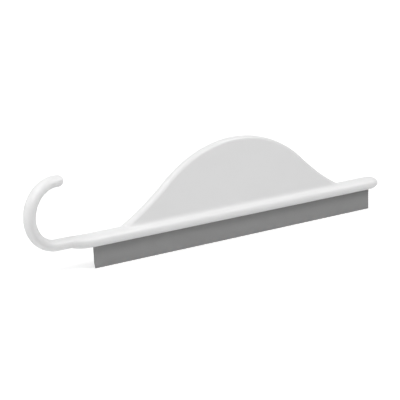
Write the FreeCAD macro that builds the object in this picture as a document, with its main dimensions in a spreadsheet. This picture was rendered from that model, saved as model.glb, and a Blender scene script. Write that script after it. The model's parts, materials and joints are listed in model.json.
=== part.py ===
"""Window cleaning squeegee: a one-piece moulded body with a hump grip and a hook, and a rubber blade.

Frame: +X runs along the blade away from the hook, +Z from the wiping edge up to the grip, and Y is
the thickness. Both sub-parts are drawn about the middle of the blade, then moved along X by
frame_shift, so that the origin lies under the middle of the whole length, at the wiping edge.
"""
import FreeCAD, Part
import math
import os

import Sketcher

DIMENSIONS = [
    # blade strip
    ("blade_length", 250.0, "length of the rubber strip along X"),
    ("lip_reach", 13.85, "from the spine's underside down to the wiping edge"),
    ("neck_thickness", 2.4, "rubber thickness in the groove and at its mouth"),
    ("lip_thickness", 1.5, "rubber thickness where the edge bevel starts"),
    ("bevel_rise", 3.2, "height of the bevel behind the wiping edge"),
    ("tip_land", 0.5, "width of the flat wiping edge"),
    ("bead_diameter", 4.6, "round root bead that holds the strip"),
    # groove
    ("bead_clearance", 0.1, "running gap round the bead and along the neck"),
    ("groove_floor", 1.2, "plastic left under the widest part of the channel"),
    ("end_gap", 0.3, "gap between the strip's end and the groove's end wall"),
    ("flex_angle", 15.0, "how far the neck swings before it meets the groove's flank, in degrees"),
    # spine
    ("spine_width", 13.0, "oval bar, across Y"),
    ("spine_height", 8.9, "oval bar, along Z"),
    ("cap_length", 8.8, "domed plain end of the bar"),
    ("plain_overhang", 8.3, "the bar runs this far past the strip at the plain end"),
    ("hook_overhang", 18.5, "the bar and its nose run this far past the strip at the hook end"),
    ("nose_length", 17.0, "taper from the bar down to the hook's rod"),
    ("nose_bulge", 0.85, "share of the taper's width still kept at its middle"),
    # hook
    ("rod_width", 8.9, "oval rod, across Y"),
    ("rod_thickness", 7.4, "oval rod, in the hook's own plane"),
    ("rod_rise", 1.25, "rod axis above the bar's axis"),
    ("rod_straight", 11.3, "straight rod between the nose and the bend"),
    ("hook_bore", 32.1, "clear diameter inside the hook"),
    ("hook_sweep", 192.0, "how far the rod turns round to its tip, in degrees"),
    ("tip_round", 2.4, "edge radius of the hook's tip"),
    # fin
    ("fin_top", 67.9, "top of the hump above the wiping edge"),
    ("fin_half_span", 100.4, "from the hump's middle to the end of its foot, just inside the bar"),
    ("foot_sink", 1.2, "how far the foot's end lies below the top of the bar"),
    ("fin_thickness", 6.2, "hump grip, across Y"),
    ("side_length", 8.5, "straight stretch between the crown's arc and the foot's"),
    ("foot_radius", 176.0, "hollow arc where each side runs out on the bar"),
    ("foot_angle", 24.6, "slope at which the foot's arc meets the bar, in degrees"),
    ("rim_round", 2.4, "edge radius all round the hump"),
    ("root_fillet", 3.2, "hollow fillet between the hump's faces and the bar"),
]

DERIVED = [
    ("underside", "=lip_reach"),
    ("spine_axis", "=underside + spine_height / 2"),
    ("spine_top", "=underside + spine_height"),
    ("channel_radius", "=bead_diameter / 2 + bead_clearance"),
    ("bead_axis", "=underside + groove_floor + channel_radius"),
    ("plain_end", "=blade_length / 2 + plain_overhang"),
    ("nose_tip", "=-(blade_length / 2 + hook_overhang)"),
    ("nose_start", "=nose_tip + nose_length"),
    ("rod_axis", "=spine_axis + rod_rise"),
    ("bend_radius", "=(hook_bore + rod_thickness) / 2"),
    ("bend_x", "=nose_tip - rod_straight"),
    ("bend_z", "=rod_axis + bend_radius"),
    ("hook_end", "=bend_x - bend_radius - rod_thickness / 2"),
    ("fin_middle", "=(plain_end + nose_tip) / 2"),
    ("foot_level", "=spine_top - foot_sink"),
    ("arc_span", "=fin_half_span + foot_radius * sin(foot_angle)"),
    ("arc_drop", "=fin_top - foot_level + foot_radius * (1 - cos(foot_angle))"),
    ("slope_share", "=arc_drop / (arc_span + side_length)"),
    ("slope_angle", "=2 * atan(slope_share) / 1 deg"),
    ("crown_radius", "=(arc_span * (1 + slope_share ^ 2) - side_length * (1 - slope_share ^ 2))"
                     " / (2 * slope_share) - foot_radius"),
    ("frame_shift", "=-(plain_end + hook_end) / 2"),
]

MOUTH_EXTRA = 1.0  # the groove's cutter runs this far out below the bar

doc = FreeCAD.newDocument("squeegee")


def make_sheet():
    """Put the driving sizes and the sizes worked out from them in one spreadsheet."""
    sheet = doc.addObject("Spreadsheet::Sheet", "dims")
    row = 1
    for name, value, note in DIMENSIONS:
        sheet.set(f"A{row}", name)
        sheet.set(f"B{row}", str(value))
        sheet.set(f"C{row}", note)
        sheet.setAlias(f"B{row}", name)
        row += 1
    for name, formula in DERIVED:
        sheet.set(f"A{row}", name)
        sheet.set(f"B{row}", formula)
        sheet.setAlias(f"B{row}", name)
        row += 1
    doc.recompute()
    return sheet


dims = make_sheet()


def size(name):
    """Read a size from the sheet, for the first placing of sketch geometry."""
    return float(getattr(dims, name))


def bind(obj, prop, formula):
    """Tie a property to the sheet. Names in the formula are written as {name}."""
    obj.setExpression(prop, formula.replace("{", "dims.").replace("}", ""))


def new_body(name):
    """Make an empty body whose place along X follows the sheet."""
    body = doc.addObject("PartDesign::Body", name)
    body.Label = name
    bind(body, "Placement.Base.x", "{frame_shift}")
    return body


def origin_plane(body, role):
    """Find one of the body's own origin planes by its role."""
    return next(f for f in body.Origin.OriginFeatures if f.Role == role)


def new_sketch(body, name, role, along=None, up=None):
    """Make a sketch on an origin plane.

    along moves it off the plane along the plane's normal, up moves its origin along Z.
    """
    sketch = body.newObject("Sketcher::SketchObject", name)
    sketch.AttachmentSupport = [(origin_plane(body, role), "")]
    sketch.MapMode = "FlatFace"
    if along:
        bind(sketch, "AttachmentOffset.Base.z", along)
    if up:
        bind(sketch, "AttachmentOffset.Base.y", up)
    return sketch


def constrain(sketch, kind, *args, formula=None):
    """Add one constraint, tied to the sheet when a formula is given."""
    index = sketch.addConstraint(Sketcher.Constraint(kind, *args))
    if formula:
        bind(sketch, f"Constraints[{index}]", formula)
    return index


def point(x, y):
    """A point in a sketch's own plane."""
    return FreeCAD.Vector(x, y, 0)


def oval_section(body, name, along, up, width, height):
    """An ellipse on a plane across X, with its middle at height up."""
    sketch = new_sketch(body, name, "YZ_Plane", along, up)
    half_width = width[1] / 2
    half_height = height[1] / 2
    oval = sketch.addGeometry(
        Part.Ellipse(point(half_width, 0), point(0, half_height), point(0, 0)), False
    )
    sketch.exposeInternalGeometry(oval)
    major, minor = oval + 1, oval + 2
    constrain(sketch, "Coincident", oval, 3, -1, 1)
    constrain(sketch, "Horizontal", major)
    constrain(sketch, "Distance", major, width[1], formula=width[0])
    constrain(sketch, "Distance", minor, height[1], formula=height[0])
    return sketch


def pad(body, sketch, name, length, both_ways=False):
    """Pad a sketch along its normal, or both ways about its plane."""
    feature = body.newObject("PartDesign::Pad", name)
    feature.Profile = sketch
    bind(feature, "Length", length)
    feature.Midplane = both_ways
    return feature


# --- moulded body -------------------------------------------------------------------------------


def add_bar(body):
    """The straight oval bar of the spine, from the nose to the domed cap."""
    oval = oval_section(
        body, "bar_section", "{nose_start}", "{spine_axis}",
        ("{spine_width}", size("spine_width")), ("{spine_height}", size("spine_height")),
    )
    pad(body, oval, "bar", "{plain_end} - {cap_length} - {nose_start}")
    doc.recompute()


def add_cap(body):
    """The domed plain end: half of an ellipsoid with the bar's own section at its base."""
    cap = body.newObject("PartDesign::AdditiveEllipsoid", "cap")
    bind(cap, "Radius1", "{spine_height} / 2")
    bind(cap, "Radius2", "{spine_width} / 2")
    bind(cap, "Radius3", "{cap_length}")
    cap.Angle3 = 180
    cap.AttachmentSupport = [(origin_plane(body, "XY_Plane"), "")]
    cap.MapMode = "FlatFace"
    cap.AttachmentOffset = FreeCAD.Placement(
        FreeCAD.Vector(0, 0, 0), FreeCAD.Rotation(FreeCAD.Vector(0, 0, 1), -90)
    )
    bind(cap, "AttachmentOffset.Base.x", "{plain_end} - {cap_length}")
    bind(cap, "AttachmentOffset.Base.z", "{spine_axis}")
    doc.recompute()


def add_nose(body):
    """The taper from the bar's oval down to the rod's smaller and higher oval."""
    def between(big, small, share):
        return f"({small} + ({big} - {small}) * {share})"

    share = size("nose_bulge")
    wide = between("{spine_width}", "{rod_width}", "{nose_bulge}")
    tall = between("{spine_height}", "{rod_thickness}", "{nose_bulge}")
    wide_now = size("rod_width") + (size("spine_width") - size("rod_width")) * share
    tall_now = size("rod_thickness") + (size("spine_height") - size("rod_thickness")) * share
    start = oval_section(
        body, "nose_root", "{nose_start}", "{spine_axis}",
        ("{spine_width}", size("spine_width")), ("{spine_height}", size("spine_height")),
    )
    middle = oval_section(
        body, "nose_middle", "({nose_start} + {nose_tip}) / 2",
        "{spine_axis} + {rod_rise} * (1 - {nose_bulge})", (wide, wide_now), (tall, tall_now),
    )
    end = oval_section(
        body, "nose_end", "{nose_tip}", "{rod_axis}",
        ("{rod_width}", size("rod_width")), ("{rod_thickness}", size("rod_thickness")),
    )
    nose = body.newObject("PartDesign::AdditiveLoft", "nose")
    nose.Profile = start
    nose.Sections = [middle, end]
    doc.recompute()


def add_hook(body):
    """The oval rod: straight out of the nose, then round the hook's bend to its tip."""
    path = new_sketch(body, "hook_path", "XZ_Plane")
    tip, bend_x, rod_z = size("nose_tip"), size("bend_x"), size("rod_axis")
    bend_z, radius = size("bend_z"), size("bend_radius")
    finish = math.radians(270 - size("hook_sweep"))
    run = path.addGeometry(Part.LineSegment(point(tip, rod_z), point(bend_x, rod_z)), False)
    bend = path.addGeometry(
        Part.ArcOfCircle(
            Part.Circle(point(bend_x, bend_z), FreeCAD.Vector(0, 0, 1), radius),
            finish, math.radians(270),
        ),
        False,
    )
    constrain(path, "Horizontal", run)
    constrain(path, "Tangent", run, 2, bend, 2)
    constrain(path, "DistanceX", -1, 1, run, 1, tip, formula="{nose_tip}")
    constrain(path, "DistanceY", -1, 1, run, 1, rod_z, formula="{rod_axis}")
    constrain(path, "Distance", run, tip - bend_x, formula="{rod_straight}")
    constrain(path, "Radius", bend, radius, formula="{bend_radius}")
    constrain(
        path, "Angle", bend, math.radians(size("hook_sweep")), formula="{hook_sweep} * 1 deg"
    )
    section = oval_section(
        body, "rod_section", "{nose_tip}", "{rod_axis}",
        ("{rod_width}", size("rod_width")), ("{rod_thickness}", size("rod_thickness")),
    )
    hook = body.newObject("PartDesign::AdditivePipe", "hook")
    hook.Profile = section
    hook.Spine = path
    doc.recompute()
    tip_face_edge = edge_nearest(hook, tip_centre())
    tip_edge = body.newObject("PartDesign::Fillet", "hook_tip")
    tip_edge.Base = (hook, [tip_face_edge])
    bind(tip_edge, "Radius", "{tip_round}")
    doc.recompute()


def tip_centre():
    """Middle of the hook's tip face, in the body's own frame."""
    finish = math.radians(270 - size("hook_sweep"))
    radius = size("bend_radius")
    return FreeCAD.Vector(
        size("bend_x") + radius * math.cos(finish), 0, size("bend_z") + radius * math.sin(finish)
    )


def edge_nearest(feature, spot):
    """Name of the edge whose middle lies nearest to a point of the body's own frame."""
    edges = feature.Shape.Edges
    gaps = [(edge.CenterOfMass - spot).Length for edge in edges]
    return f"Edge{gaps.index(min(gaps)) + 1}"


def add_fin(body):
    """The hump: a crown arc, straight sides and hollow feet, drawn down into the bar."""
    sketch = new_sketch(body, "fin_outline", "XZ_Plane")
    middle, top, span = size("fin_middle"), size("fin_top"), size("fin_half_span")
    crown, foot = size("crown_radius"), size("foot_radius")
    slope, turn = math.radians(size("slope_angle")), math.radians(size("foot_angle"))
    floor, level = size("spine_axis"), size("foot_level")
    crown_x, crown_z = crown * math.sin(slope), top - crown * (1 - math.cos(slope))
    side_end_x = crown_x + size("side_length") * math.cos(slope)
    side_end_z = crown_z - size("side_length") * math.sin(slope)
    centre_x, centre_z = side_end_x + foot * math.sin(slope), side_end_z + foot * math.cos(slope)

    up = FreeCAD.Vector(0, 0, 1)
    quarter = math.pi / 2
    arc = sketch.addGeometry(
        Part.ArcOfCircle(Part.Circle(point(middle, top - crown), up, crown),
                         quarter - slope, quarter + slope), False)
    sides, feet, posts = [], [], []
    for way in (1, -1):
        sides.append(sketch.addGeometry(Part.LineSegment(
            point(middle + way * crown_x, crown_z), point(middle + way * side_end_x, side_end_z)), False))
        if way > 0:
            spread = (3 * quarter - slope, 3 * quarter - turn)
        else:
            spread = (3 * quarter + turn, 3 * quarter + slope)
        feet.append(sketch.addGeometry(Part.ArcOfCircle(
            Part.Circle(point(middle + way * centre_x, centre_z), up, foot), *spread), False))
        posts.append(sketch.addGeometry(Part.LineSegment(
            point(middle + way * span, level), point(middle + way * span, floor)), False))
    base = sketch.addGeometry(
        Part.LineSegment(point(middle + span, floor), point(middle - span, floor)), False)

    constrain(sketch, "Tangent", sides[0], 1, arc, 1)
    constrain(sketch, "Tangent", sides[1], 1, arc, 2)
    constrain(sketch, "Tangent", sides[0], 2, feet[0], 1)
    constrain(sketch, "Tangent", sides[1], 2, feet[1], 2)
    constrain(sketch, "Coincident", feet[0], 2, posts[0], 1)
    constrain(sketch, "Coincident", feet[1], 1, posts[1], 1)
    constrain(sketch, "Coincident", posts[0], 2, base, 1)
    constrain(sketch, "Coincident", posts[1], 2, base, 2)
    constrain(sketch, "Vertical", posts[0])
    constrain(sketch, "Vertical", posts[1])
    constrain(sketch, "Horizontal", base)
    constrain(sketch, "Radius", arc, crown, formula="{crown_radius}")
    constrain(sketch, "Equal", feet[0], feet[1])
    constrain(sketch, "Radius", feet[0], foot, formula="{foot_radius}")
    constrain(sketch, "DistanceX", -1, 1, arc, 3, middle, formula="{fin_middle}")
    constrain(sketch, "DistanceY", arc, 3, -1, 1, crown - top, formula="{crown_radius} - {fin_top}")
    constrain(sketch, "DistanceY", -1, 1, base, 1, floor, formula="{spine_axis}")
    for post in posts:
        constrain(sketch, "DistanceY", -1, 1, post, 1, level, formula="{foot_level}")
    constrain(sketch, "DistanceX", arc, 3, posts[0], 1, span, formula="{fin_half_span}")
    constrain(sketch, "DistanceX", posts[1], 1, arc, 3, span, formula="{fin_half_span}")
    constrain(sketch, "Angle", sides[0], -slope, formula="-{slope_angle} * 1 deg")
    constrain(sketch, "Angle", sides[1], slope - math.pi, formula="({slope_angle} - 180) * 1 deg")
    pad(body, sketch, "fin", "{fin_thickness}", both_ways=True)
    doc.recompute()


def edges_where(feature, test):
    """Names of the feature's edges whose middle passes the test."""
    edges = feature.Shape.Edges
    return [f"Edge{i + 1}" for i, edge in enumerate(edges) if test(edge)]


def fillet(body, base, name, edges, radius):
    """Round or fill the named edges of a feature."""
    feature = body.newObject("PartDesign::Fillet", name)
    feature.Base = (base, edges)
    bind(feature, "Radius", radius)
    doc.recompute()
    return feature


def round_fin(body):
    """Round the rim all the way along both faces of the hump."""
    half = size("fin_thickness") / 2
    level = size("foot_level")
    near = 0.01

    def on_rim(edge):
        middle = edge.CenterOfMass
        return abs(abs(middle.y) - half) < near and middle.z > level

    fin = body.Tip
    return fillet(body, fin, "fin_rim", edges_where(fin, on_rim), "{rim_round}")


def fill_root(body):
    """Fill the corner all round where the hump stands on the bar."""
    half = size("fin_thickness") / 2
    low, top = size("foot_level"), size("spine_top")
    middle, reach = size("fin_middle"), size("fin_half_span")
    near = 0.01
    base = body.Tip

    def at_root(edge):
        box, centre = edge.BoundBox, edge.CenterOfMass
        on_fin = abs(centre.x - middle) < reach and abs(centre.y) < half + near
        return on_fin and box.ZMin > low and box.ZMax < top + near

    return fillet(body, base, "fin_root", edges_where(base, at_root), "{root_fillet}")


def cut_groove(body):
    """The keyhole groove: a round channel for the bead and flanks that flare to the mouth.

    Each flank lies along the neck's side when the strip has swung to flex_angle, one clearance away.
    """
    sketch = new_sketch(body, "groove_section", "YZ_Plane", up="{bead_axis}")
    radius = size("channel_radius")
    lean = math.radians(size("flex_angle"))
    offset = size("neck_thickness") / 2 + size("bead_clearance")
    mouth = size("bead_axis") - size("underside") + MOUTH_EXTRA
    start = math.asin(offset / radius) + lean
    mouth_half = offset / math.cos(lean) + mouth * math.tan(lean)
    down = -math.pi / 2

    channel = sketch.addGeometry(Part.ArcOfCircle(
        Part.Circle(point(0, 0), FreeCAD.Vector(0, 0, 1), radius),
        down + start, down - start + 2 * math.pi), False)
    flanks = []
    for way in (1, -1):
        top = point(way * radius * math.sin(start), -radius * math.cos(start))
        flanks.append(sketch.addGeometry(
            Part.LineSegment(top, point(way * mouth_half, -mouth)), False))
    base = sketch.addGeometry(
        Part.LineSegment(point(mouth_half, -mouth), point(-mouth_half, -mouth)), False)

    constrain(sketch, "Coincident", channel, 3, -1, 1)
    constrain(sketch, "Radius", channel, radius, formula="{channel_radius}")
    for flank, end, corner in ((flanks[0], 1, 1), (flanks[1], 2, 2)):
        constrain(sketch, "Coincident", flank, 1, channel, end)
        constrain(sketch, "Coincident", flank, 2, base, corner)
        constrain(sketch, "Distance", -1, 1, flank, offset,
                  formula="{neck_thickness} / 2 + {bead_clearance}")
    constrain(sketch, "Horizontal", base)
    constrain(sketch, "Angle", flanks[0], lean - math.pi / 2, formula="({flex_angle} - 90) * 1 deg")
    constrain(sketch, "Angle", flanks[1], -lean - math.pi / 2,
              formula="(-{flex_angle} - 90) * 1 deg")
    constrain(sketch, "DistanceY", base, 1, -1, 1, mouth,
              formula="{bead_axis} - {underside} + " + str(MOUTH_EXTRA))

    full = body.Shape.Volume
    groove = body.newObject("PartDesign::Pocket", "groove")
    groove.Profile = sketch
    groove.Midplane = True
    bind(groove, "Length", "{blade_length} + 2 * {end_gap}")
    doc.recompute()
    channel_volume = math.pi * radius ** 2 * size("blade_length")
    if full - body.Shape.Volume < channel_volume / 2:
        raise RuntimeError("the groove cut too little out of the bar")


# --- rubber strip -------------------------------------------------------------------------------


def add_strip(body):
    """The strip: a round bead, a straight neck, a tapering lip and a bevelled wiping edge.

    Its front face is flat from the bead to the edge; the taper and the bevel are on its back.
    """
    sketch = new_sketch(body, "strip_section", "YZ_Plane")
    axis, radius = size("bead_axis"), size("bead_diameter") / 2
    half = size("neck_thickness") / 2
    top = axis - math.sqrt(radius ** 2 - half ** 2)
    turn = math.asin(half / radius)
    down = -math.pi / 2
    corners = [
        point(half, top),
        point(half, size("underside")),
        point(size("lip_thickness") - half, size("bevel_rise")),
        point(size("tip_land") - half, 0),
        point(-half, 0),
        point(-half, top),
    ]
    bead = sketch.addGeometry(Part.ArcOfCircle(
        Part.Circle(point(0, axis), FreeCAD.Vector(0, 0, 1), radius),
        down + turn, down - turn + 2 * math.pi), False)
    sides = [
        sketch.addGeometry(Part.LineSegment(here, there), False)
        for here, there in zip(corners, corners[1:])
    ]
    neck, lip, bevel, land, front = sides

    constrain(sketch, "Coincident", bead, 1, neck, 1)
    for here, there in zip(sides, sides[1:]):
        constrain(sketch, "Coincident", here, 2, there, 1)
    constrain(sketch, "Coincident", front, 2, bead, 2)
    constrain(sketch, "PointOnObject", bead, 3, -2)
    constrain(sketch, "DistanceY", -1, 1, bead, 3, axis, formula="{bead_axis}")
    constrain(sketch, "Radius", bead, radius, formula="{bead_diameter} / 2")
    constrain(sketch, "Vertical", neck)
    constrain(sketch, "Vertical", front)
    constrain(sketch, "PointOnObject", land, 2, -1)
    constrain(sketch, "Horizontal", land)
    constrain(sketch, "DistanceX", land, 2, -1, 1, half, formula="{neck_thickness} / 2")
    constrain(sketch, "DistanceX", land, 2, neck, 2, 2 * half, formula="{neck_thickness}")
    constrain(sketch, "DistanceX", land, 2, lip, 2, size("lip_thickness"), formula="{lip_thickness}")
    constrain(sketch, "DistanceX", land, 2, land, 1, size("tip_land"), formula="{tip_land}")
    constrain(sketch, "DistanceY", -1, 1, neck, 2, size("underside"), formula="{underside}")
    constrain(sketch, "DistanceY", -1, 1, lip, 2, size("bevel_rise"), formula="{bevel_rise}")
    pad(body, sketch, "strip", "{blade_length}", both_ways=True)
    doc.recompute()


def check_and_write(bodies):
    """Stop if any object failed or any body isn't one valid solid, then write the STEP files."""
    for obj in doc.Objects:
        if "Invalid" in obj.State or "Error" in obj.State:
            raise RuntimeError(f"{obj.Name} failed: {obj.State}")
        if obj.TypeId == "Sketcher::SketchObject" and not obj.FullyConstrained:
            raise RuntimeError(f"{obj.Name} is not fully constrained")
    for body in bodies:
        shape = body.Shape
        if shape.isNull() or not shape.isValid() or len(shape.Solids) != 1:
            raise RuntimeError(f"{body.Label} is not one valid solid")
    os.makedirs("parts", exist_ok=True)
    for body in bodies:
        body.Shape.exportStep(f"parts/{body.Label}.step")
        box = body.Shape.optimalBoundingBox()
        print(f"{body.Label}: {body.Shape.Volume:.1f} mm3, X {box.XMin:.2f} to {box.XMax:.2f}, "
              f"Y {box.YMin:.2f} to {box.YMax:.2f}, Z {box.ZMin:.2f} to {box.ZMax:.2f}")


handle = new_body("squeegee_body")
add_fin(handle)
round_fin(handle)
add_bar(handle)
add_cap(handle)
add_nose(handle)
add_hook(handle)
fill_root(handle)
cut_groove(handle)

blade = new_body("rubber_blade")
add_strip(blade)

doc.recompute()
check_and_write([handle, blade])
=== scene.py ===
"""Looks of a window cleaning squeegee: a satin white moulding with a grip and a hook, and a strip."""

import json
import logging
import math
from dataclasses import dataclass

import bmesh
import bpy
import numpy as np
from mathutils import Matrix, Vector

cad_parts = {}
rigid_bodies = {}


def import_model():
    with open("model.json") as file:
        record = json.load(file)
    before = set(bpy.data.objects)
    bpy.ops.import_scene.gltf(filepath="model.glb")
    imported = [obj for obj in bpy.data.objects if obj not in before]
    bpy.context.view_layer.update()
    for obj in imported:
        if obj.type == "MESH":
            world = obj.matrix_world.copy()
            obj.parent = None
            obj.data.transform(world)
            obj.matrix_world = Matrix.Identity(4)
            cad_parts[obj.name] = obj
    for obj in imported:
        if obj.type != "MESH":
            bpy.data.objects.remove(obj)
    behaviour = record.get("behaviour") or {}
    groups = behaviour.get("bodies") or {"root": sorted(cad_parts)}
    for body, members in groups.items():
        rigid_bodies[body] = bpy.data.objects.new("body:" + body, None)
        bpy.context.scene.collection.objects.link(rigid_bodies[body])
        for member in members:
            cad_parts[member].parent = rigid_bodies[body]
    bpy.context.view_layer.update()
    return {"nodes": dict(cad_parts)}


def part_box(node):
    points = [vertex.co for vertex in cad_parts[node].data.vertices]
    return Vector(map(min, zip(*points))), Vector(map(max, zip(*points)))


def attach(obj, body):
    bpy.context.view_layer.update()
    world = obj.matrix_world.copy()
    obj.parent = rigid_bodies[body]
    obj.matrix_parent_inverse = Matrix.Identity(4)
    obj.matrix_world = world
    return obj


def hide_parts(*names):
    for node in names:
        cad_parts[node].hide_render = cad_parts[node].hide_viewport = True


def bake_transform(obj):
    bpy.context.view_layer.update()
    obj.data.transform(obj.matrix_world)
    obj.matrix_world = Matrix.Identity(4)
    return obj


LOG = logging.getLogger("squeegee")
MM = 0.001
SHARP_ANGLE = math.radians(35.0)


# --- distances to solids, for the moulded body ----------------------------------------------------


def filleted(
    one: np.ndarray, other: np.ndarray, radius: np.ndarray | float, lean: np.ndarray | float = 0.0
) -> np.ndarray:
    """Join two solids with the fillet that a ball leaves when it rolls along their corner.

    Args:
        one: signed distances to the first solid, negative inside.
        other: signed distances to the second solid.
        radius: radius of the ball, one for all points or one each.
        lean: cosine of the angle between the two surfaces' normals, 0 for a square corner.

    Returns:
        Signed distances to the joined solid.
    """
    first, second = np.maximum(radius - one, 0.0), np.maximum(radius - other, 0.0)
    in_corner = (first > lean * second) & (second > lean * first)
    spread = first ** 2 + second ** 2 - 2 * lean * first * second
    ball = radius - np.sqrt(np.maximum(spread, 0.0) / (1.0 - lean ** 2))
    return np.where(in_corner, ball, np.minimum(one, other))


def rounded(one: np.ndarray, other: np.ndarray, radius: float) -> np.ndarray:
    """Keep what two solids share, with the edge between their surfaces rounded.

    Args:
        one: signed distances to the first solid, negative inside.
        other: signed distances to the second solid.
        radius: edge radius.

    Returns:
        Signed distances to the shared solid.
    """
    far = np.hypot(np.maximum(one + radius, 0.0), np.maximum(other + radius, 0.0))
    return np.minimum(-radius, np.maximum(one, other)) + far


def oval(offsets: list[np.ndarray], halves: list[np.ndarray | float]) -> np.ndarray:
    """Distance to an ellipse or an ellipsoid, close to exact near its surface.

    Args:
        offsets: distances from the middle along each axis.
        halves: half width along each axis.

    Returns:
        Signed distances, negative inside.
    """
    reach = np.sqrt(sum((o / h) ** 2 for o, h in zip(offsets, halves)))
    steep = np.sqrt(sum((o / h ** 2) ** 2 for o, h in zip(offsets, halves)))
    return reach * (reach - 1.0) / np.maximum(steep, 1e-6)


@dataclass(frozen=True)
class Hump:
    """The grip: a crown arc, two straight sides and two hollow feet, all in millimetres."""

    middle: float
    top: float = 67.9
    half_span: float = 100.4
    foot_level: float = 21.55
    side_length: float = 8.5
    foot_radius: float = 176.0
    foot_angle: float = math.radians(24.6)
    thickness: float = 6.2
    rim_round: float = 2.4

    def outline(self) -> tuple[float, float, Vector, Vector]:
        """Work out the tangent arcs of one side.

        Returns:
            The steepest slope, the crown's radius, and the centres of the crown's and the foot's arcs.
        """
        span = self.half_span + self.foot_radius * math.sin(self.foot_angle)
        drop = self.top - self.foot_level + self.foot_radius * (1 - math.cos(self.foot_angle))
        share = drop / (span + self.side_length)
        reach = (span * (1 + share ** 2) - self.side_length * (1 - share ** 2)) / (2 * share)
        crown = reach - self.foot_radius
        foot = Vector((span, self.foot_level + self.foot_radius * math.cos(self.foot_angle)))
        return 2 * math.atan(share), crown, Vector((0.0, self.top - crown)), foot

    def height(self, x: np.ndarray, base: float) -> np.ndarray:
        """Height of the feet's hollow arcs, carried on upwards past the feet.

        Args:
            x: distances along the bar, in millimetres.
            base: height that the result is measured from.

        Returns:
            The arcs' heights above base.
        """
        centre = self.outline()[3]
        run = np.clip(centre.x - np.abs(x - self.middle), 0.0, self.foot_radius)
        return centre.y - np.sqrt(self.foot_radius ** 2 - run ** 2) - base

    def distance(self, x: np.ndarray, y: np.ndarray, z: np.ndarray, floor: float) -> np.ndarray:
        """Distance to the hump, which is cut off inside the bar.

        Args:
            x: distances along the bar, in millimetres.
            y: distances from the mid-plane.
            z: heights.
            floor: height below which there is no hump.

        Returns:
            Signed distances, negative inside.
        """
        slope, crown, crown_centre, foot_centre = self.outline()
        across = np.abs(x - self.middle)
        from_crown = np.hypot(across - crown_centre.x, z - crown_centre.y) - crown
        from_foot = self.foot_radius - np.hypot(across - foot_centre.x, z - foot_centre.y)
        normal = Vector((math.sin(slope), math.cos(slope)))
        along = Vector((math.cos(slope), -math.sin(slope)))
        start = crown_centre + normal * crown
        from_side = (across - start.x) * normal.x + (z - start.y) * normal.y
        run = (across - start.x) * along.x + (z - start.y) * along.y
        edge = np.where(run < 0, from_crown, np.where(run > self.side_length, from_foot, from_side))
        slab = rounded(edge, np.abs(y) - self.thickness / 2, self.rim_round)
        return np.maximum(slab, floor - z)


@dataclass(frozen=True)
class HookRod:
    """The oval rod that leaves the nose and bends round into the hook, in millimetres."""

    start: float
    axis: float
    half_width: float = 4.45
    half_thickness: float = 3.7
    straight: float = 11.3
    bore: float = 32.1
    sweep: float = math.radians(192.0)
    tip_round: float = 2.4

    def distance(self, x: np.ndarray, y: np.ndarray, z: np.ndarray) -> np.ndarray:
        """Distance to the rod, from just inside the nose to the hook's tip.

        Args:
            x: distances along the bar, in millimetres.
            y: distances from the mid-plane.
            z: heights.

        Returns:
            Signed distances, negative inside.
        """
        bend = self.bore / 2 + self.half_thickness
        across, rise = x - (self.start - self.straight), z - (self.axis + bend)
        finish = 1.5 * math.pi - self.sweep
        out = Vector((math.cos(finish), math.sin(finish)))
        past = across * out.y - rise * out.x
        beyond = (past > 0) & (rise > 0)
        on_run = (across > 0) & (rise <= 0)
        turned = np.hypot(across, rise) - bend
        past_tip = across * out.x + rise * out.y - bend
        radial = np.where(on_run, rise + bend, np.where(beyond, past_tip, turned))
        tube = oval([radial, y], [self.half_thickness, self.half_width])
        tip = np.where(rise > 0, past, -2 * bend)
        run_end = np.where(on_run, x - (self.start + 1.0), -2 * bend)
        return rounded(tube, np.maximum(tip, run_end), self.tip_round)


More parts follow.
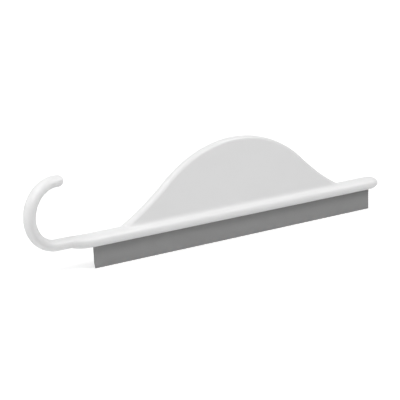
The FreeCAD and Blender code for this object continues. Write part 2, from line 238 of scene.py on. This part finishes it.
@dataclass(frozen=True)
class MouldedBody:
    """The white moulding: spine bar, hump grip, nose, hook and keyhole groove, in millimetres.

    X runs from the strip's middle away from the hook, Z up from the wiping edge.
    """

    strip_length: float = 250.0
    underside: float = 13.85
    bar_width: float = 13.0
    bar_height: float = 8.9
    cap_length: float = 8.8
    plain_overhang: float = 8.3
    hook_overhang: float = 18.5
    nose_length: float = 17.0
    nose_fullness: float = 2.7
    rod_rise: float = 1.25
    root_fillet: float = 3.2
    least_fillet: float = 0.25
    crease_fillet: float = 0.7
    channel_radius: float = 2.4
    bead_axis: float = 17.45
    flank_offset: float = 1.3
    flank_lean: float = math.radians(15.0)
    mouth_round: float = 0.45
    end_gap: float = 0.3
    voxel: float = 0.6
    steepest_lean: float = 0.9
    least_steepness: float = 0.25

    @property
    def axis(self) -> float:
        """Height of the bar's axis."""
        return self.underside + self.bar_height / 2

    @property
    def nose_tip(self) -> float:
        """Where the nose ends and the rod comes out."""
        return -self.strip_length / 2 - self.hook_overhang

    @property
    def plain_end(self) -> float:
        """Where the domed end stops."""
        return self.strip_length / 2 + self.plain_overhang

    def bar_distance(self, x: np.ndarray, y: np.ndarray, z: np.ndarray) -> np.ndarray:
        """Distance to the oval bar with its domed cap and its tapered nose.

        Args:
            x: distances along the bar, in millimetres.
            y: distances from the mid-plane.
            z: heights.

        Returns:
            Signed distances, negative inside.
        """
        rod = HookRod(self.nose_tip, self.axis + self.rod_rise)
        along = np.clip((x - self.nose_tip) / self.nose_length, 0.0, 1.0)
        full = 1.0 - (1.0 - along) ** self.nose_fullness
        half_width = rod.half_width + (self.bar_width / 2 - rod.half_width) * full
        half_height = rod.half_thickness + (self.bar_height / 2 - rod.half_thickness) * full
        middle = self.axis + self.rod_rise * (1.0 - full)
        past = np.maximum(x - (self.plain_end - self.cap_length), 0.0)
        solid = oval([past, y, z - middle], [self.cap_length, half_width, half_height])
        return np.maximum(solid, self.nose_tip - x)

    def groove_distance(self, x: np.ndarray, y: np.ndarray, z: np.ndarray) -> np.ndarray:
        """Distance to the space cut out for the strip's bead and neck.

        Args:
            x: distances along the bar, in millimetres.
            y: distances from the mid-plane.
            z: heights.

        Returns:
            Signed distances, negative inside.
        """
        depth = self.bead_axis - z
        channel = np.hypot(y, depth) - self.channel_radius
        leaning = np.abs(y) * math.cos(self.flank_lean) - depth * math.sin(self.flank_lean)
        flank = leaning - self.flank_offset
        mouth = np.maximum(flank, -depth)
        ends = np.abs(x) - (self.strip_length / 2 + self.end_gap)
        return np.maximum(np.minimum(channel, mouth), ends)

    def distance(self, points: np.ndarray) -> np.ndarray:
        """Distance from each point to the whole moulding.

        Args:
            points: rows of x, y and z, in millimetres.

        Returns:
            Signed distances, negative inside.
        """
        x, y, z = points.T
        hump = Hump(middle=(self.plain_end + self.nose_tip) / 2)
        rise = hump.height(x, self.underside + self.bar_height)
        fillet = np.clip(rise, self.least_fillet, self.root_fillet)
        side, up = np.abs(y) / self.bar_width ** 2, (z - self.axis) / self.bar_height ** 2
        lean = side / np.maximum(np.hypot(side, up), 1e-9)
        bar, grip = self.bar_distance(x, y, z), hump.distance(x, y, z, self.axis)
        spine = filleted(bar, grip, fillet, np.clip(lean, 0.0, self.steepest_lean))
        rod = HookRod(self.nose_tip, self.axis + self.rod_rise)
        whole = filleted(spine, rod.distance(x, y, z), self.crease_fillet)
        return rounded(whole, -self.groove_distance(x, y, z), self.mouth_round)

    def slope(self, points: np.ndarray, step: float = 0.02) -> np.ndarray:
        """Find how the distance changes around each point.

        Args:
            points: rows of x, y and z, in millimetres.
            step: distance to the points compared on each side.

        Returns:
            One row for each point, pointing away from the moulding.
        """
        rise = []
        for axis in range(3):
            nudge = np.zeros(3)
            nudge[axis] = step
            rise.append(self.distance(points + nudge) - self.distance(points - nudge))
        return np.stack(rise, axis=1) / (2 * step)

    def settle(self, points: np.ndarray, passes: int = 6) -> np.ndarray:
        """Move points along the slope until they lie on the moulding's surface.

        Args:
            points: rows of x, y and z, in millimetres.
            passes: how many times each point is moved.

        Returns:
            The moved points.
        """
        for _ in range(passes):
            slope = self.slope(points)
            steep = np.maximum((slope ** 2).sum(axis=1), self.least_steepness)
            step = np.clip(self.distance(points) / steep, -self.voxel, self.voxel)
            points = points - slope * step[:, None]
        return points

    def build(self, solid: bpy.types.Object, shift: float) -> bpy.types.Object:
        """Make the moulding's fine mesh from the plain solid.

        Args:
            solid: the plain solid, whose surface gives the faces.
            shift: X of the strip's middle in the frame, in millimetres.

        Returns:
            The finished object, with its place in its mesh.
        """
        mesh = solid.data.copy()
        merge_doubles(mesh)
        piece = bpy.data.objects.new("moulded_body", mesh)
        bpy.context.scene.collection.objects.link(piece)
        remesh = piece.modifiers.new("even_faces", "REMESH")
        remesh.mode = "VOXEL"
        remesh.voxel_size = self.voxel * MM
        piece.data = applied(piece)
        piece.modifiers.clear()
        bpy.data.meshes.remove(mesh)
        count = len(piece.data.vertices)
        flat = np.empty(count * 3)
        piece.data.vertices.foreach_get("co", flat)
        points = flat.reshape(-1, 3) / MM - np.array([shift, 0.0, 0.0])
        points = self.settle(points) + np.array([shift, 0.0, 0.0])
        piece.data.vertices.foreach_set("co", (points * MM).ravel())
        piece.data.update()
        piece.data.shade_smooth()
        return piece


# --- mesh helpers ---------------------------------------------------------------------------------


def merge_doubles(mesh: bpy.types.Mesh, gap: float = 1e-6) -> None:
    """Join vertices that lie on each other.

    Args:
        mesh: the mesh to change.
        gap: the largest distance between vertices that are joined, in metres.
    """
    work = bmesh.new()
    work.from_mesh(mesh)
    bmesh.ops.remove_doubles(work, verts=work.verts, dist=gap)
    work.to_mesh(mesh)
    work.free()


def applied(piece: bpy.types.Object) -> bpy.types.Mesh:
    """Apply an object's modifiers.

    Args:
        piece: the object with modifiers.

    Returns:
        A plain mesh of what they make.
    """
    bpy.context.view_layer.update()
    seen = piece.evaluated_get(bpy.context.evaluated_depsgraph_get())
    return bpy.data.meshes.new_from_object(seen)


# --- rubber strip ---------------------------------------------------------------------------------


@dataclass(frozen=True)
class RubberStrip:
    """The grey strip: round bead, straight neck, tapering lip and bevelled wiping edge, in millimetres."""

    length: float = 250.0
    underside: float = 13.85
    bead_axis: float = 17.45
    bead_radius: float = 2.3
    half_neck: float = 1.2
    lip_thickness: float = 1.5
    bevel_rise: float = 3.2
    tip_land: float = 0.5
    edge_round: float = 0.12
    station_gap: float = 2.5
    row_gap: float = 0.9
    bead_steps: int = 28

    def section(self) -> list[tuple[float, float]]:
        """The strip's outline across X, anticlockwise from the bead's foot on the front.

        Returns:
            (y, z) corners of the closed outline.
        """
        half, radius = self.half_neck, self.bead_radius
        foot = math.asin(half / radius)
        steps = self.bead_steps
        sweep = 2 * (math.pi - foot)
        bead = []
        for i in range(steps + 1):
            angle = foot + sweep * i / steps
            bead.append((radius * math.sin(angle), self.bead_axis - radius * math.cos(angle)))
        top = bead[0][1]
        front = self.rows((-half, self.edge_round), (-half, top))
        back = self.rows((half, top), (half, self.underside))
        bevel_top = (self.lip_thickness - half, self.bevel_rise)
        taper = self.rows((half, self.underside), bevel_top)
        bevel = self.rows(bevel_top, (self.tip_land - half, self.edge_round))
        tip = [(self.tip_land - half - self.edge_round, 0.0), (self.edge_round - half, 0.0)]
        down = back[1:] + taper[1:] + bevel[1:] + tip + front[:-1]
        return down + bead[::-1]

    def rows(self, start: tuple[float, float], end: tuple[float, float]) -> list[tuple[float, float]]:
        """Divide a straight run evenly.

        Args:
            start: (y, z) of the first point.
            end: (y, z) of the last point.

        Returns:
            The points from start to end, both included.
        """
        count = max(1, math.ceil(math.dist(start, end) / self.row_gap))
        return [
            (start[0] + (end[0] - start[0]) * i / count, start[1] + (end[1] - start[1]) * i / count)
            for i in range(count + 1)
        ]

    def build(self, shift: float, rubber: bpy.types.Material) -> bpy.types.Object:
        """Sweep the section along X.

        Args:
            shift: X of the strip's middle in the frame, in millimetres.
            rubber: the strip's material.

        Returns:
            The finished object, with its place in its mesh.
        """
        corners = self.section()
        mesh = bpy.data.meshes.new("strip_section")
        loop = [(i, (i + 1) % len(corners)) for i in range(len(corners))]
        mesh.from_pydata([(-y * MM, -z * MM, 0.0) for y, z in corners], loop, [])
        piece = bpy.data.objects.new("rubber_strip", mesh)
        bpy.context.scene.collection.objects.link(piece)
        tree = sweep_tree()
        modifier = piece.modifiers.new("sweep", "NODES")
        modifier.node_group = tree
        values = {
            "Start": (shift - self.length / 2) * MM,
            "End": (shift + self.length / 2) * MM,
            "Stations": round(self.length / self.station_gap) + 1,
            "Material": rubber,
        }
        for item in tree.interface.items_tree:
            if item.name in values and item.in_out == "INPUT":
                modifier[item.identifier] = values[item.name]
        piece.data = applied(piece)
        piece.modifiers.clear()
        bpy.data.meshes.remove(mesh)
        tidy_sweep(piece.data)
        return piece


def sweep_tree() -> bpy.types.NodeTree:
    """Geometry Nodes that sweep a closed section along X between two stations.

    Returns:
        The node tree, with inputs Start, End, Stations and Material.
    """
    tree = bpy.data.node_groups.new("sweep_along_x", "GeometryNodeTree")
    face = tree.interface
    face.new_socket("Section", in_out="INPUT", socket_type="NodeSocketGeometry")
    face.new_socket("Start", in_out="INPUT", socket_type="NodeSocketFloat")
    face.new_socket("End", in_out="INPUT", socket_type="NodeSocketFloat")
    face.new_socket("Stations", in_out="INPUT", socket_type="NodeSocketInt")
    face.new_socket("Material", in_out="INPUT", socket_type="NodeSocketMaterial")
    face.new_socket("Swept", in_out="OUTPUT", socket_type="NodeSocketGeometry")
    add = tree.nodes.new
    link = tree.links.new
    given, result = add("NodeGroupInput"), add("NodeGroupOutput")
    section = add("GeometryNodeMeshToCurve")
    link(given.outputs["Section"], section.inputs["Mesh"])
    start, end = add("ShaderNodeCombineXYZ"), add("ShaderNodeCombineXYZ")
    link(given.outputs["Start"], start.inputs["X"])
    link(given.outputs["End"], end.inputs["X"])
    path = add("GeometryNodeCurvePrimitiveLine")
    link(start.outputs[0], path.inputs["Start"])
    link(end.outputs[0], path.inputs["End"])
    stations = add("GeometryNodeResampleCurve")
    link(path.outputs[0], stations.inputs["Curve"])
    link(given.outputs["Stations"], stations.inputs["Count"])
    swept = add("GeometryNodeCurveToMesh")
    swept.inputs["Fill Caps"].default_value = True
    link(stations.outputs[0], swept.inputs["Curve"])
    link(section.outputs[0], swept.inputs["Profile Curve"])
    real = add("GeometryNodeRealizeInstances")
    link(swept.outputs[0], real.inputs[0])
    dressed = add("GeometryNodeSetMaterial")
    link(real.outputs[0], dressed.inputs["Geometry"])
    link(given.outputs["Material"], dressed.inputs["Material"])
    link(dressed.outputs[0], result.inputs["Swept"])
    return tree


def tidy_sweep(mesh: bpy.types.Mesh) -> None:
    """Point a swept mesh's faces outwards, split its end caps and smooth its gentle edges.

    Args:
        mesh: the mesh to change.
    """
    work = bmesh.new()
    work.from_mesh(mesh)
    bmesh.ops.remove_doubles(work, verts=work.verts, dist=1e-6)
    bmesh.ops.recalc_face_normals(work, faces=work.faces)
    caps = [face for face in work.faces if len(face.verts) > 4]
    bmesh.ops.triangulate(work, faces=caps)
    work.to_mesh(mesh)
    work.free()
    mesh.shade_smooth()
    mesh.set_sharp_from_angle(angle=SHARP_ANGLE)


# --- finishes -------------------------------------------------------------------------------------


def grain_group() -> bpy.types.NodeTree:
    """A fine moulded grain with a slow drift of tone, shared by both finishes.

    Returns:
        The shader node group, with inputs Grain Scale and Drift Scale and outputs Height and Drift.
    """
    tree = bpy.data.node_groups.new("moulded_grain", "ShaderNodeTree")
    face = tree.interface
    face.new_socket("Grain Scale", in_out="INPUT", socket_type="NodeSocketFloat")
    face.new_socket("Drift Scale", in_out="INPUT", socket_type="NodeSocketFloat")
    face.new_socket("Height", in_out="OUTPUT", socket_type="NodeSocketFloat")
    face.new_socket("Drift", in_out="OUTPUT", socket_type="NodeSocketFloat")
    add, link = tree.nodes.new, tree.links.new
    given, result = add("NodeGroupInput"), add("NodeGroupOutput")
    place = add("ShaderNodeTexCoord")
    grain, drift = add("ShaderNodeTexNoise"), add("ShaderNodeTexNoise")
    grain.inputs["Detail"].default_value = 3.0
    drift.inputs["Detail"].default_value = 2.0
    for noise, scale in ((grain, "Grain Scale"), (drift, "Drift Scale")):
        link(place.outputs["Object"], noise.inputs["Vector"])
        link(given.outputs[scale], noise.inputs["Scale"])
    link(grain.outputs["Fac"], result.inputs["Height"])
    link(drift.outputs["Fac"], result.inputs["Drift"])
    return tree


@dataclass(frozen=True)
class Finish:
    """A plastic or rubber surface with moulded grain."""

    name: str
    light: tuple[float, float, float]
    dark: tuple[float, float, float]
    smooth: float
    rough: float
    grain_scale: float
    grain_depth: float
    drift_scale: float
    specular: float

    def build(self, grain: bpy.types.NodeTree) -> bpy.types.Material:
        """Make the material.

        Args:
            grain: the shared grain group.

        Returns:
            The material, with its colour, roughness and bump from the grain.
        """
        material = bpy.data.materials.new(self.name)
        material.use_nodes = True
        tree = material.node_tree
        add, link = tree.nodes.new, tree.links.new
        shader = tree.nodes["Principled BSDF"]
        shader.inputs["Specular IOR Level"].default_value = self.specular
        surface = add("ShaderNodeGroup")
        surface.node_tree = grain
        surface.inputs["Grain Scale"].default_value = self.grain_scale
        surface.inputs["Drift Scale"].default_value = self.drift_scale
        tone = add("ShaderNodeMix")
        tone.data_type = "RGBA"
        tone.inputs["A"].default_value = (*self.dark, 1.0)
        tone.inputs["B"].default_value = (*self.light, 1.0)
        link(surface.outputs["Drift"], tone.inputs["Factor"])
        link(tone.outputs["Result"], shader.inputs["Base Color"])
        gloss = add("ShaderNodeMapRange")
        gloss.inputs["To Min"].default_value = self.smooth
        gloss.inputs["To Max"].default_value = self.rough
        link(surface.outputs["Height"], gloss.inputs["Value"])
        link(gloss.outputs["Result"], shader.inputs["Roughness"])
        bump = add("ShaderNodeBump")
        bump.inputs["Distance"].default_value = self.grain_depth
        link(surface.outputs["Height"], bump.inputs["Height"])
        link(bump.outputs["Normal"], shader.inputs["Normal"])
        return material


# --- room, lights and camera ----------------------------------------------------------------------


@dataclass(frozen=True)
class Lamp:
    """A soft square lamp that faces the object."""

    name: str
    azimuth: float
    elevation: float
    distance: float
    side: float
    watts: float

    def build(self, target: Vector) -> None:
        """Hang the lamp and turn it to the target.

        Args:
            target: the point that the lamp faces.
        """
        data = bpy.data.lights.new(self.name, "AREA")
        data.shape = "SQUARE"
        data.size = self.side
        data.energy = self.watts
        lamp = bpy.data.objects.new(self.name, data)
        bpy.context.scene.collection.objects.link(lamp)
        away = direction(self.azimuth, self.elevation)
        lamp.location = target + away * self.distance
        lamp.rotation_euler = away.to_track_quat("Z", "Y").to_euler()


def direction(azimuth: float, elevation: float) -> Vector:
    """Find the way from the object to a viewer.

    Args:
        azimuth: angle round the object, in degrees, 0 in front and 90 at the right.
        elevation: angle above the floor, in degrees.

    Returns:
        A unit vector.
    """
    turn, lift = math.radians(azimuth), math.radians(elevation)
    return Vector((
        math.sin(turn) * math.cos(lift), -math.cos(turn) * math.cos(lift), math.sin(lift)
    ))


@dataclass(frozen=True)
class Studio:
    """Pale floor, white surround, lamps and camera."""

    floor_side: float = 12.0
    floor_colour: float = 0.86
    near_glow: float = 0.42
    far_glow: float = 0.9
    glow_reach: float = 0.9
    world_strength: float = 0.03
    view_azimuth: float = -42.78
    view_elevation: float = 12.356
    view_distance: float = 1.18371
    view_target: tuple[float, float, float] = (-0.013679, 0.0, 0.029912)
    lens: float = 164.72
    lamps: tuple[Lamp, ...] = (
        Lamp("front_key", -60.0, 45.0, 1.6, 0.8, 10.2),
        Lamp("top_key", -105.0, 65.0, 1.6, 0.8, 9.6),
        Lamp("left_fill", -120.0, 27.0, 1.6, 0.8, 3.1),
        Lamp("right_fill", 50.0, 40.0, 1.6, 0.8, 11.2),
    )

    def build(self) -> None:
        """Make the floor, the surround, the lamps and the camera."""
        self.add_floor()
        self.add_world()
        target = Vector(self.view_target)
        for lamp in self.lamps:
            lamp.build(target)
        self.add_camera(target)

    def add_floor(self) -> None:
        """Lay the floor at the height of the wiping edge."""
        half = self.floor_side / 2
        mesh = bpy.data.meshes.new("floor")
        mesh.from_pydata(
            [(-half, -half, 0.0), (half, -half, 0.0), (half, half, 0.0), (-half, half, 0.0)],
            [], [(0, 1, 2, 3)],
        )
        floor = bpy.data.objects.new("floor", mesh)
        bpy.context.scene.collection.objects.link(floor)
        material = bpy.data.materials.new("pale_floor")
        material.use_nodes = True
        tree = material.node_tree
        shader = tree.nodes["Principled BSDF"]
        shader.inputs["Base Color"].default_value = (self.floor_colour,) * 3 + (1.0,)
        shader.inputs["Roughness"].default_value = 0.9
        shader.inputs["Specular IOR Level"].default_value = 0.0
        shader.inputs["Emission Color"].default_value = (1.0, 1.0, 1.0, 1.0)
        self.spread_glow(tree, shader)
        mesh.materials.append(material)

    def spread_glow(self, tree: bpy.types.NodeTree, shader: bpy.types.Node) -> None:
        """Make the floor glow where it is seen directly, more with distance, so that it fades to white.

        Args:
            tree: the floor's nodes.
            shader: the floor's shader.
        """
        place = tree.nodes.new("ShaderNodeTexCoord")
        far = tree.nodes.new("ShaderNodeVectorMath")
        far.operation = "LENGTH"
        tree.links.new(place.outputs["Object"], far.inputs[0])
        glow = tree.nodes.new("ShaderNodeMapRange")
        glow.inputs["From Max"].default_value = self.glow_reach
        glow.inputs["To Min"].default_value = self.near_glow
        glow.inputs["To Max"].default_value = self.far_glow
        tree.links.new(far.outputs["Value"], glow.inputs["Value"])
        seen = tree.nodes.new("ShaderNodeMath")
        seen.operation = "MULTIPLY"
        tree.links.new(glow.outputs["Result"], seen.inputs[0])
        tree.links.new(direct_view(tree, 1.0), seen.inputs[1])
        tree.links.new(seen.outputs[0], shader.inputs["Emission Strength"])

    def add_world(self) -> None:
        """Light from all round, seen as plain white."""
        world = bpy.data.worlds.new("surround")
        bpy.context.scene.world = world
        world.use_nodes = True
        tree = world.node_tree
        back = tree.nodes["Background"]
        back.inputs["Color"].default_value = (1.0, 1.0, 1.0, 1.0)
        level = tree.nodes.new("ShaderNodeMapRange")
        level.inputs["To Min"].default_value = self.world_strength
        level.inputs["To Max"].default_value = 1.0
        tree.links.new(direct_view(tree, 1.0), level.inputs["Value"])
        tree.links.new(level.outputs["Result"], back.inputs["Strength"])

    def add_camera(self, target: Vector) -> None:
        """Set the camera on its line to the target.

        Args:
            target: the point in the middle of the view.
        """
        data = bpy.data.cameras.new("camera")
        data.sensor_width = 36.0
        data.lens = self.lens
        camera = bpy.data.objects.new("camera", data)
        bpy.context.scene.collection.objects.link(camera)
        away = direction(self.view_azimuth, self.view_elevation)
        camera.location = target + away * self.view_distance
        camera.rotation_euler = away.to_track_quat("Z", "Y").to_euler()
        bpy.context.scene.camera = camera


def direct_view(tree: bpy.types.NodeTree, strength: float) -> bpy.types.NodeSocket:
    """Tell rays that are seen directly, in a mirror or through glass from the rest.

    Args:
        tree: the nodes that the value is added to.
        strength: the value for those rays; it is 0 for the rest.

    Returns:
        The socket that holds the value.
    """
    path = tree.nodes.new("ShaderNodeLightPath")
    seen = tree.nodes.new("ShaderNodeMath")
    seen.operation = "MAXIMUM"
    tree.links.new(path.outputs["Is Camera Ray"], seen.inputs[0])
    tree.links.new(path.outputs["Is Glossy Ray"], seen.inputs[1])
    both = tree.nodes.new("ShaderNodeMath")
    both.operation = "MAXIMUM"
    tree.links.new(seen.outputs[0], both.inputs[0])
    tree.links.new(path.outputs["Is Transmission Ray"], both.inputs[1])
    scaled = tree.nodes.new("ShaderNodeMath")
    scaled.operation = "MULTIPLY"
    scaled.inputs[1].default_value = strength
    tree.links.new(both.outputs[0], scaled.inputs[0])
    return scaled.outputs[0]


# --- the whole ------------------------------------------------------------------------------------


def main() -> None:
    """Load the frame, build and dress every piece, and set up the studio."""
    logging.basicConfig(level=logging.INFO, format="%(message)s")
    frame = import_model()
    for kind in ("CAMERA", "LIGHT"):
        for thing in [o for o in bpy.data.objects if o.type == kind]:
            bpy.data.objects.remove(thing)
    low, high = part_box("rubber_blade")
    shift = (low[0] + high[0]) / 2 / MM

    grain = grain_group()
    white = Finish(
        name="satin_polypropylene", light=(0.86,) * 3, dark=(0.83,) * 3, smooth=0.34, rough=0.46,
        grain_scale=900.0, grain_depth=0.00003, drift_scale=25.0, specular=0.5,
    )
    grey = Finish(
        name="matte_rubber", light=(0.330,) * 3, dark=(0.297,) * 3, smooth=0.6, rough=0.8,
        grain_scale=1800.0, grain_depth=0.00004, drift_scale=60.0, specular=0.3,
    )

    body = MouldedBody().build(frame["nodes"]["squeegee_body"], shift)
    body.data.materials.clear()
    body.data.materials.append(white.build(grain))
    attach(body, "body")
    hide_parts("squeegee_body")
    LOG.info("moulded_body: %d faces", len(body.data.polygons))

    strip_shape = RubberStrip()
    strip = strip_shape.build(shift, grey.build(grain))
    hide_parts("rubber_blade")
    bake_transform(strip)
    LOG.info("rubber_strip: %d faces", len(strip.data.polygons))

    Studio().build()
    bpy.context.scene.view_settings.view_transform = "Standard"


if __name__ == "__main__":
    main()
